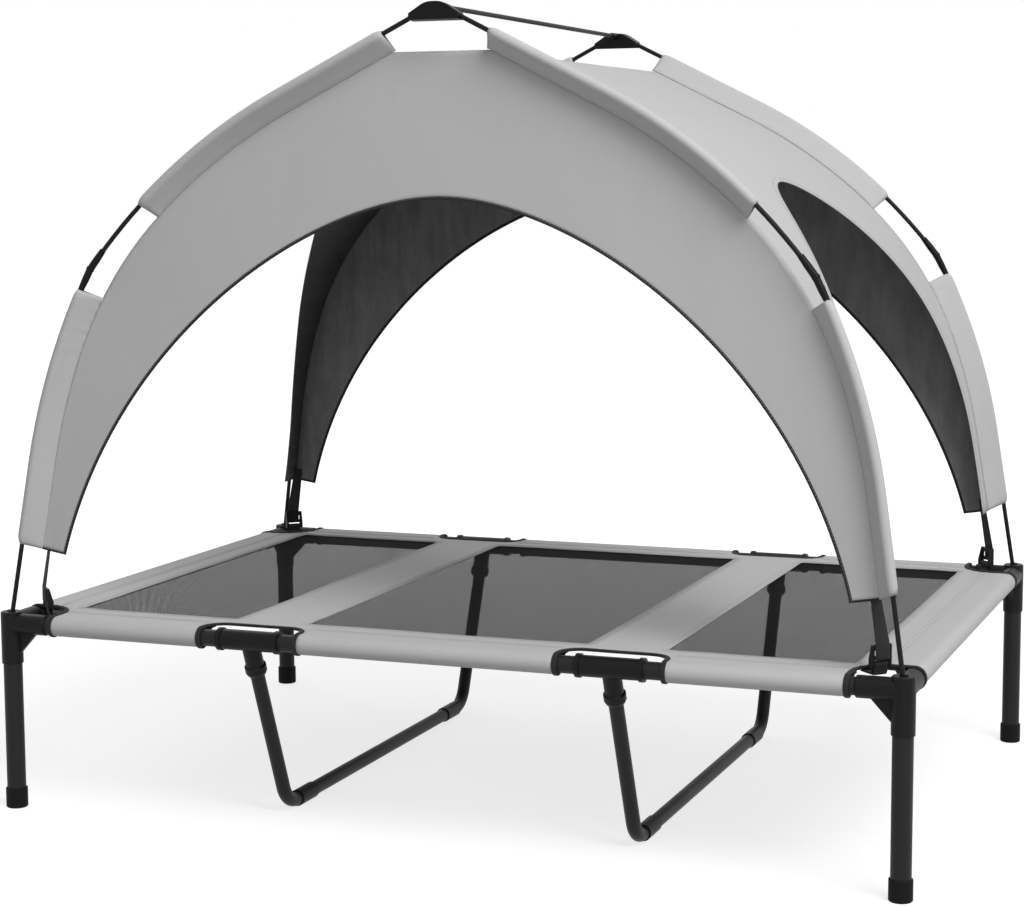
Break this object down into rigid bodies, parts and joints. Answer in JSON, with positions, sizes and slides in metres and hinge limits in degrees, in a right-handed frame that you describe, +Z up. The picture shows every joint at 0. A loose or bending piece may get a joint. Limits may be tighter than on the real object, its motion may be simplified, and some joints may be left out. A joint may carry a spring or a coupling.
{
  "type": "raised dog bed with canopy",
  "caption": "Raised pet cot: steel tube frame, stretched fabric cover with mesh windows and a lift-off arched canopy on flexible poles.",
  "frame": {"origin": "on the floor under the middle of the cot", "axes": "+X along the long side, +Y towards the back, +Z up"},
  "size_m": [1.2188, 0.8378, 1.0457],
  "materials": {
    "steel_tube": "fine-textured black powder coat",
    "bracket_plastic": "moulded black plastic, satin",
    "hub_plastic": "moulded black plastic, satin",
    "buckle_plastic": "moulded black acetal, slight sheen",
    "foot_rubber": "black rubber, matt",
    "cover_fabric": "light grey woven polyester, plain weave",
    "mesh_fabric": "charcoal open mesh, coated yarn",
    "canopy_fabric": "grey woven polyester, black coated on the inside",
    "binding_tape": "black binding tape, stitched",
    "strap_webbing": "black webbing",
    "pole_fibreglass": "black fibreglass rod, satin",
    "pole_steel": "plain steel ferrule"
  },
  "bodies": {
    "frame": {"anchor_tabs": "strap_webbing", "back_rail_left": "steel_tube", "back_rail_middle": "steel_tube", "back_rail_right": "steel_tube", "bed_cover": "cover_fabric", "corner_bindings": "binding_tape", "corner_bracket_back_left": "bracket_plastic", "corner_bracket_back_right": "bracket_plastic", "corner_bracket_front_left": "bracket_plastic", "corner_bracket_front_right": "bracket_plastic", "corner_leg_back_left": "steel_tube", "corner_leg_back_right": "steel_tube", "corner_leg_front_left": "steel_tube", "corner_leg_front_right": "steel_tube", "crossbar_sleeves": "foot_rubber", "end_rail_left": "steel_tube", "end_rail_right": "steel_tube", "foot_caps": "foot_rubber", "front_rail_left": "steel_tube", "front_rail_middle": "steel_tube", "front_rail_right": "steel_tube", "mesh_panel_centre": "mesh_fabric", "mesh_panel_left": "mesh_fabric", "mesh_panel_right": "mesh_fabric", "support_crossbar_left": "steel_tube", "support_crossbar_right": "steel_tube", "support_leg_back_left": "steel_tube", "support_leg_back_right": "steel_tube", "support_leg_front_left": "steel_tube", "support_leg_front_right": "steel_tube", "tee_bindings": "binding_tape", "tee_connector_back_left": "bracket_plastic", "tee_connector_back_right": "bracket_plastic", "tee_connector_front_left": "bracket_plastic", "tee_connector_front_right": "bracket_plastic"},
    "canopy": {"canopy_back_panel": "canopy_fabric", "canopy_front_panel": "canopy_fabric", "canopy_roof": "canopy_fabric", "canopy_straps": "strap_webbing", "doorway_bindings": "binding_tape", "knee_ferrules": "hub_plastic", "pole_feet": "pole_steel", "pole_hub_back": "hub_plastic", "pole_hub_front": "hub_plastic", "pole_lower_back_left": "pole_fibreglass", "pole_lower_back_right": "pole_fibreglass", "pole_lower_front_left": "pole_fibreglass", "pole_lower_front_right": "pole_fibreglass", "pole_sleeves_back": "canopy_fabric", "pole_sleeves_front": "canopy_fabric", "pole_upper_back_left": "pole_fibreglass", "pole_upper_back_right": "pole_fibreglass", "pole_upper_front_left": "pole_fibreglass", "pole_upper_front_right": "pole_fibreglass", "ridge_rod": "pole_fibreglass"},
    "buckle_front_right": {"strap_buckle_front_right": "buckle_plastic"},
    "buckle_front_left": {"strap_buckle_front_left": "buckle_plastic"},
    "buckle_back_right": {"strap_buckle_back_right": "buckle_plastic"},
    "buckle_back_left": {"strap_buckle_back_left": "buckle_plastic"}
  },
  "joints": [
    {"name": "canopy_lift", "type": "slide", "parent": "frame", "child": "canopy", "axis": [0, 0, 1], "range_m": [0, 0.2]},
    {"name": "buckle_tilt_front_right", "type": "hinge", "parent": "frame", "child": "buckle_front_right", "pos_m": [0.56, -0.369, 0.27], "axis": [-0.7071, -0.7071, 0], "range_deg": [0, 35]},
    {"name": "buckle_tilt_front_left", "type": "hinge", "parent": "frame", "child": "buckle_front_left", "pos_m": [-0.56, -0.369, 0.27], "axis": [-0.7071, 0.7071, 0], "range_deg": [0, 35]},
    {"name": "buckle_tilt_back_right", "type": "hinge", "parent": "frame", "child": "buckle_back_right", "pos_m": [0.56, 0.369, 0.27], "axis": [0.7071, -0.7071, 0], "range_deg": [0, 35]},
    {"name": "buckle_tilt_back_left", "type": "hinge", "parent": "frame", "child": "buckle_back_left", "pos_m": [-0.56, 0.369, 0.27], "axis": [0.7071, 0.7071, 0], "range_deg": [0, 35]}
  ]
}
